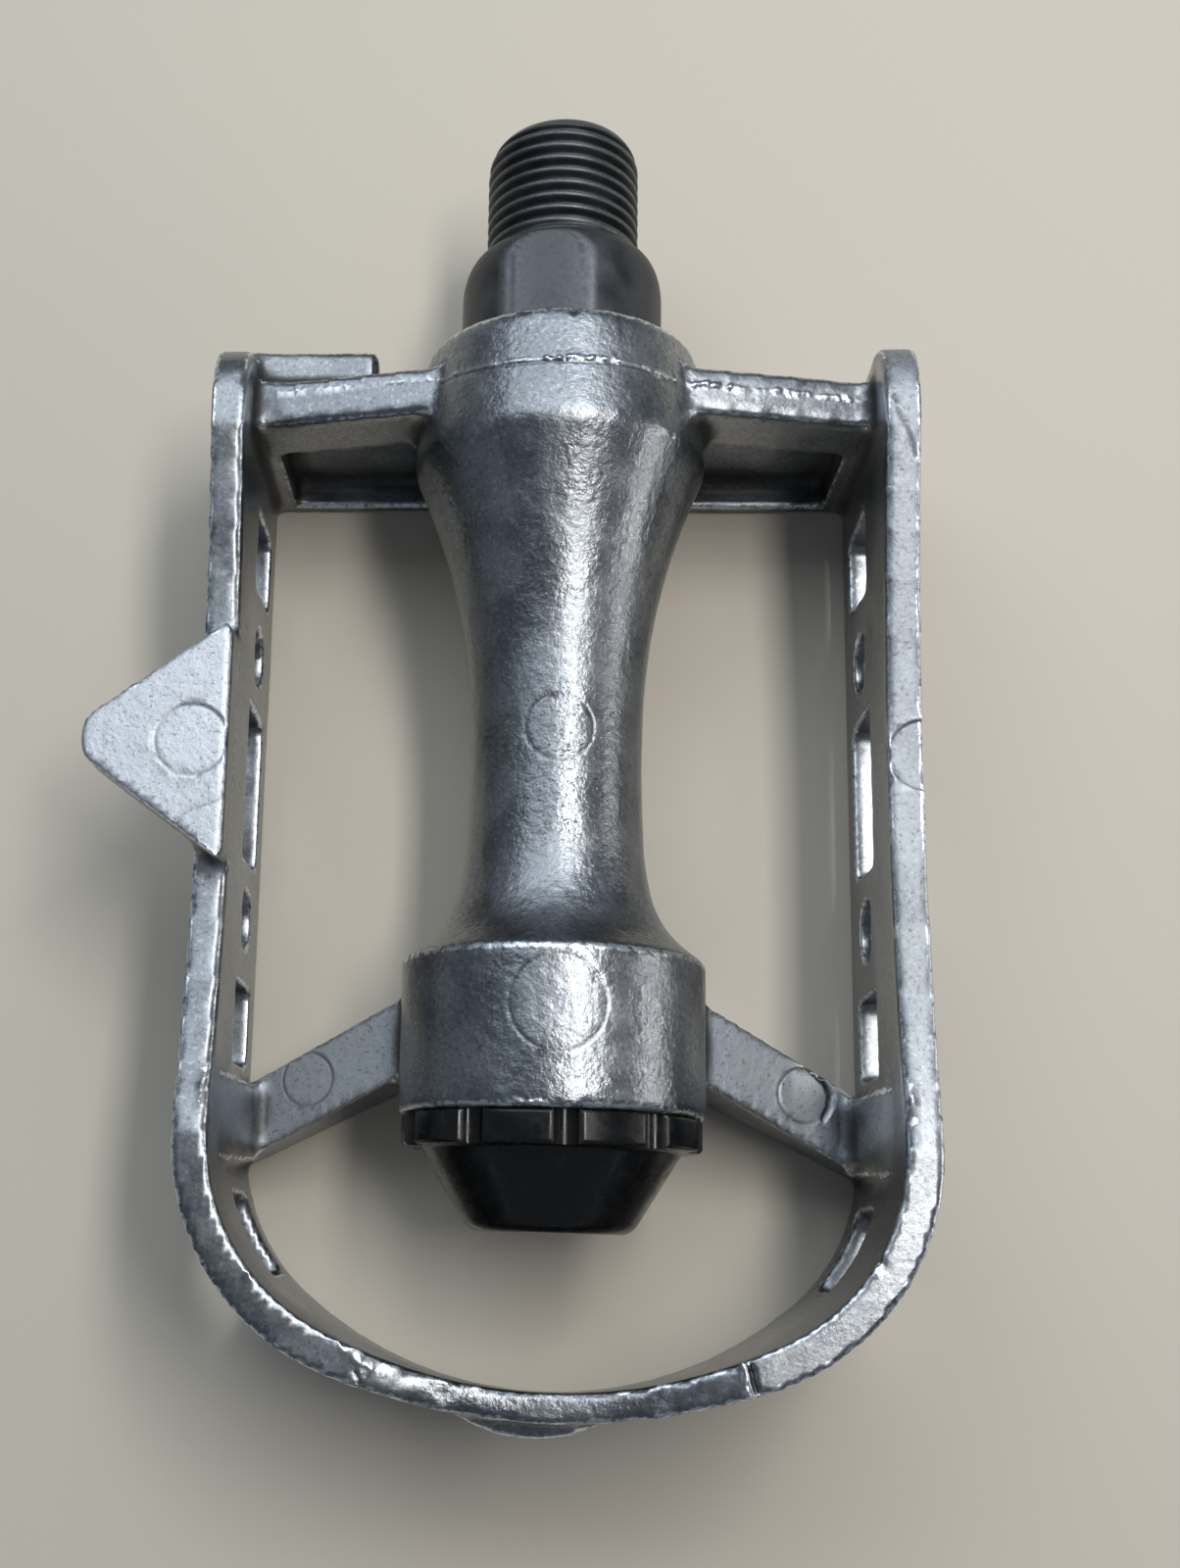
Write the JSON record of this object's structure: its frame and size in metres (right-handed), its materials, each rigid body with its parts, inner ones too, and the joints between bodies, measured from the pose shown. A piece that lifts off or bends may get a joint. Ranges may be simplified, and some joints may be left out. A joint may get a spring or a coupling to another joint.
{
  "type": "bicycle pedal",
  "caption": "Road bicycle pedal with a die-cast aluminium cage and barrel in one piece, a threaded steel spindle, a flip tab and a black plastic dust cap.",
  "frame": {"origin": "on the spindle axis at the crank face of the spindle's collar, where the crank thread starts", "axes": "+Y along the spindle towards the crank; +Z away from the shoe, so the foot plane faces -Z; +X to the side plate without the flip tab"},
  "size_m": [0.0724, 0.1189, 0.0294],
  "materials": {
    "cast_aluminium": "tumbled die casting, satin with bright worn edges",
    "black_steel": "black oxide over turned steel",
    "bearing_steel": "ground steel, oiled",
    "ball_steel": "polished",
    "plated_steel": "zinc plated",
    "seal_rubber": "matt",
    "black_plastic": "moulded, gloss"
  },
  "bodies": {
    "spindle": {"spindle": "black_steel", "outer_cone": "bearing_steel", "lock_washer": "plated_steel", "lock_nut": "plated_steel"},
    "pedal_body": {"body_casting": "cast_aluminium", "inner_cup": "bearing_steel", "outer_cup": "bearing_steel", "dust_seal": "seal_rubber", "dust_cap": "black_plastic"},
    "inner_balls": {"inner_ball_01": "ball_steel", "inner_ball_02": "ball_steel", "inner_ball_03": "ball_steel", "inner_ball_04": "ball_steel", "inner_ball_05": "ball_steel", "inner_ball_06": "ball_steel", "inner_ball_07": "ball_steel", "inner_ball_08": "ball_steel", "inner_ball_09": "ball_steel", "inner_ball_10": "ball_steel", "inner_ball_11": "ball_steel", "inner_ball_12": "ball_steel", "inner_ball_13": "ball_steel"},
    "outer_balls": {"outer_ball_01": "ball_steel", "outer_ball_02": "ball_steel", "outer_ball_03": "ball_steel", "outer_ball_04": "ball_steel", "outer_ball_05": "ball_steel", "outer_ball_06": "ball_steel", "outer_ball_07": "ball_steel", "outer_ball_08": "ball_steel", "outer_ball_09": "ball_steel", "outer_ball_10": "ball_steel", "outer_ball_11": "ball_steel"}
  },
  "joints": [
    {"name": "pedal_spin", "type": "hinge", "parent": "spindle", "child": "pedal_body", "pos_m": [0, 0, 0], "axis": [0, 1, 0], "continuous": true},
    {"name": "inner_balls_roll", "type": "hinge", "parent": "spindle", "child": "inner_balls", "pos_m": [0, 0, 0], "axis": [0, 1, 0], "continuous": true},
    {"name": "outer_balls_roll", "type": "hinge", "parent": "spindle", "child": "outer_balls", "pos_m": [0, 0, 0], "axis": [0, 1, 0], "continuous": true}
  ],
  "couplings": [
    {"joint": "inner_balls_roll", "follows": "pedal_spin", "ratio": 0.5825},
    {"joint": "outer_balls_roll", "follows": "pedal_spin", "ratio": 0.5975}
  ]
}
